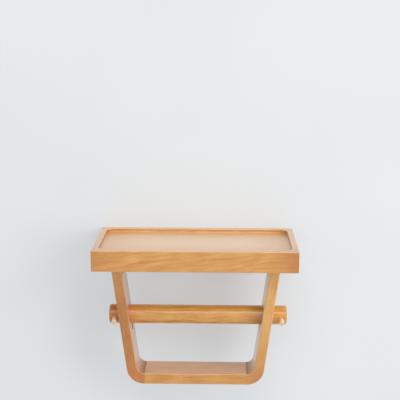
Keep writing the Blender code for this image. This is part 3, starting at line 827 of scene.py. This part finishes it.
low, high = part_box("right_frame_screw_front")
pattern = wood_screw("frame_screw", FRAME_SCREW_HEAD, FRAME_SCREW_SHANK, FRAME_SCREW_HEAD_HEIGHT,
                     high.z - low.z, FRAME_SCREW_TIP)
for side_name in ("left", "right"):
    for row in ("front", "back"):
        node = f"{side_name}_frame_screw_{row}"
        low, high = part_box(node)
        place = Vector(((low.x + high.x) / 2, (low.y + high.y) / 2, low.z))
        piece = again(pattern, f"{side_name}_{row}_frame_wood_screw", place)
        complete(piece, screw_steel, "screw_steel", "holder", node)
bpy.data.objects.remove(pattern, do_unlink=True)

# ROLL ROD: a turned beech dowel with well rounded ends. It lies loose in the holes of the
# two legs, and has a blind hole near each end for its peg.
ROD_END_ROUND = 0.002
ROD_END_STEPS = 7
PEG_ROOT = 0.003
PEG_TURN = math.radians(-75)
PEG_FIT = 0.00012
HOLE_EDGE = 0.00015

rod = round_bar("beech_rod", rod_radius, (rod_low.x, rod_axis.y, rod_axis.z),
                (rod_high.x, rod_axis.y, rod_axis.z), ROD_SIDES)
end_reach = rod_high.x - rod_axis.x - TOUCH
sand(rod, ROD_END_ROUND, lambda middle, line: float(abs(middle.x - rod_axis.x) > end_reach),
     ROD_END_STEPS)
peg_way = Vector((0, math.sin(PEG_TURN), -math.cos(PEG_TURN)))
peg_places = {}
for side_name in ("left", "right"):
    low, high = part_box(side_name + "_peg")
    peg_places[side_name] = Vector(((low.x + high.x) / 2, rod_axis.y, rod_axis.z))
    start = peg_places[side_name] + peg_way * (PEG_ROOT - SEAT_GAP)
    end = peg_places[side_name] + peg_way * (rod_radius + OVERRUN)
    carve(rod, round_bar("peg_hole_cutter", PEG_DIAMETER / 2 + PEG_FIT, start, end))
sand(rod, HOLE_EDGE, lambda middle, line: float(abs(middle.x - rod_axis.x) < end_reach), FINE_STEPS,
     clamp=True)
# The rod's left end is darker and redder with painted shade.
left_end_painted_shade = ((rod_low.x, rod_axis.y, rod_axis.z), 0.05, 0.9, tone(208, 106, 10))
beech_rod = beech("beech_dowel_rod", tone(230, 176, 88), tone(196, 122, 44), heart=(-0.03, -0.03),
                  plank=(0.2, 0.057, 0.079), stains_and_painted_light=[left_end_painted_shade])
complete(rod, beech_rod, "rod_wood", "rod", "roll_rod")

# PEGS: two thin beech dowels glued into the rod, one outside each leg. They keep the rod
# from sliding out while they are turned away from the slots.
PEG_TIP_ROUND = 0.0006

start = peg_places["right"] + peg_way * PEG_ROOT
end = peg_places["right"] + peg_way * PEG_REACH
peg = round_bar("right_beech_peg", PEG_DIAMETER / 2, start, end)
sand(peg, PEG_TIP_ROUND, lambda middle, line: 1.0)
pegs = {"right": peg, "left": again(peg, "left_beech_peg", peg_places["left"] - peg_places["right"])}
peg_wood = beech("beech_peg", tone(252, 228, 186), tone(234, 198, 150), plank=(0.3, 0, 0),
                 grain_turn=(-math.pi / 2 - PEG_TURN, 0, math.pi / 2), end_depth=0.2)
for side_name, piece in pegs.items():
    complete(piece, peg_wood, "peg_wood", "rod", side_name + "_peg")

# WALL AND FLOOR: a plain painted wall behind the holder and a plain pale floor well below
# it. Part of the wall's brightness is its own, for light that comes back into the shadows
# from all sides. From behind, the wall is clear.
WALL_REACH = 3.0
WALL_GAP = 0.0005
FLOOR_DROP = 1.4
LIFTED_SHARE = 0.46
CLOUD_SCALE = 5.0
CLOUD_SHADE = 0.965
CLOUD_START = 0.3
CLOUD_END = 0.7
STIPPLE_SCALE = 700.0
STIPPLE_STRENGTH = 0.08
STIPPLE_HEIGHT = 0.0003
PAINT_DULLNESS = 0.85
PAINT_SHINE = 0.2


def paint(name, colour, lifted_share):
    """Matt paint with faint clouds and the stipple of a roller."""
    material = bpy.data.materials.new(name)
    material.use_nodes = True
    tree = material.node_tree
    shader = tree.nodes["Principled BSDF"]
    here = add(tree, "TexCoord").outputs["Object"]
    cloudy = add(tree, "TexNoise", {"Vector": here, "Scale": CLOUD_SCALE, "Detail": 2}).outputs[0]
    dimmer = tuple(CLOUD_SHADE * part for part in colour[:3]) + (1,)
    shade = ramp(tree, cloudy, (CLOUD_START, dimmer), (CLOUD_END, colour))
    lit_share = 1 - lifted_share
    lit = stretched(tree, shade, (lit_share, lit_share, lit_share))
    tree.links.new(lit, shader.inputs["Base Color"])
    tree.links.new(shade, shader.inputs["Emission Color"])
    shader.inputs["Emission Strength"].default_value = lifted_share
    stipple = add(tree, "TexNoise", {"Vector": here, "Scale": STIPPLE_SCALE, "Detail": 3}).outputs[0]
    bump = add(tree, "Bump", {"Height": stipple, "Strength": STIPPLE_STRENGTH,
                              "Distance": STIPPLE_HEIGHT})
    tree.links.new(bump.outputs[0], shader.inputs["Normal"])
    shader.inputs["Roughness"].default_value = PAINT_DULLNESS
    shader.inputs["Specular IOR Level"].default_value = PAINT_SHINE
    return material


wall_paint = paint("wall_paint", tone(228, 232, 235), LIFTED_SHARE)
tree = wall_paint.node_tree
behind = add(tree, "NewGeometry").outputs["Backfacing"]
clear = add(tree, "BsdfTransparent").outputs[0]
painted = tree.nodes["Principled BSDF"].outputs[0]
seen = add(tree, "MixShader", {0: behind, 1: painted, 2: clear}).outputs[0]
tree.links.new(seen, tree.nodes["Material Output"].inputs["Surface"])
bpy.ops.object.select_all(action='DESELECT')
bpy.ops.mesh.primitive_plane_add(size=2 * WALL_REACH, location=(0, WALL_GAP, WALL_REACH - FLOOR_DROP),
                                 rotation=(math.pi / 2, 0, 0))
wall = alone("wall")
wall.data.materials.append(wall_paint)
wall.visible_diffuse = False
wall.visible_shadow = False
bpy.ops.object.select_all(action='DESELECT')
bpy.ops.mesh.primitive_plane_add(size=2 * WALL_REACH, location=(0, 0, -FLOOR_DROP))
floor = alone("floor")
floor.data.materials.append(paint("floor_paint", tone(198, 200, 201), 0.0))
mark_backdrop(wall, floor)

# LIGHT: soft light from a large window to the right of the camera, whose glare is kept
# out of the lacquer, a little from the ceiling, and even light all round.
WINDOW_PLACE = Vector((3.0, -2.1, 0.8))
WINDOW_SIZE = 2.8
WINDOW_STRENGTH = 88.0
CEILING_PLACE = Vector((0.3, -1.8, 2.3))
CEILING_SIZE = 2.2
CEILING_STRENGTH = 31.0
LAMP_COLOUR = (1.0, 0.985, 0.96)
ROOM_COLOUR = (0.97, 0.985, 1.0, 1)
ROOM_LIGHT = 0.6
BACKGROUND = 0.88

middle = (cad_low + cad_high) / 2
for name, place, size, strength, glare in (
        ("window", WINDOW_PLACE, WINDOW_SIZE, WINDOW_STRENGTH, False),
        ("ceiling", CEILING_PLACE, CEILING_SIZE, CEILING_STRENGTH, True)):
    lamp = bpy.data.lights.new(name, 'AREA')
    lamp.size = size
    lamp.energy = strength
    lamp.color = LAMP_COLOUR
    lamp_object = bpy.data.objects.new(name, lamp)
    bpy.context.scene.collection.objects.link(lamp_object)
    lamp_object.location = place
    lamp_object.visible_glossy = glare
    lamp_object.rotation_euler = (middle - place).to_track_quat('-Z', 'Y').to_euler()

world = bpy.data.worlds.new("room")
bpy.context.scene.world = world
world.use_nodes = True
tree = world.node_tree
rays = add(tree, "LightPath")
strength = add(tree, "MapRange", {"Value": rays.outputs["Is Camera Ray"], "To Min": ROOM_LIGHT,
                                  "To Max": BACKGROUND}).outputs[0]
tree.links.new(strength, tree.nodes["Background"].inputs["Strength"])
tree.nodes["Background"].inputs["Color"].default_value = ROOM_COLOUR

# CAMERA: it stands 1.15 m from the wall, a little to the right of the holder and well
# above it, and looks down on it by about 12 degrees.
CAMERA_PLACE = (0.0256, -1.1504, 0.2834)
CAMERA_LENS = 87.65
CAMERA_TILT = -0.2033
CAMERA_PAN = 0.0194
CAMERA_ROLL = 0.0031
NEAREST_SEEN = 0.05

camera = bpy.data.objects.new("camera", bpy.data.cameras.new("camera"))
bpy.context.scene.collection.objects.link(camera)
camera.data.lens = CAMERA_LENS
camera.data.clip_start = NEAREST_SEEN
pan = Matrix.Rotation(CAMERA_PAN, 4, 'Z')
tilt = Matrix.Rotation(math.pi / 2 + CAMERA_TILT, 4, 'X')
roll = Matrix.Rotation(CAMERA_ROLL, 4, 'Z')
camera.matrix_world = Matrix.Translation(CAMERA_PLACE) @ pan @ tilt @ roll
bpy.context.scene.camera = camera
bpy.context.scene.view_settings.view_transform = 'Standard'

low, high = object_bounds()
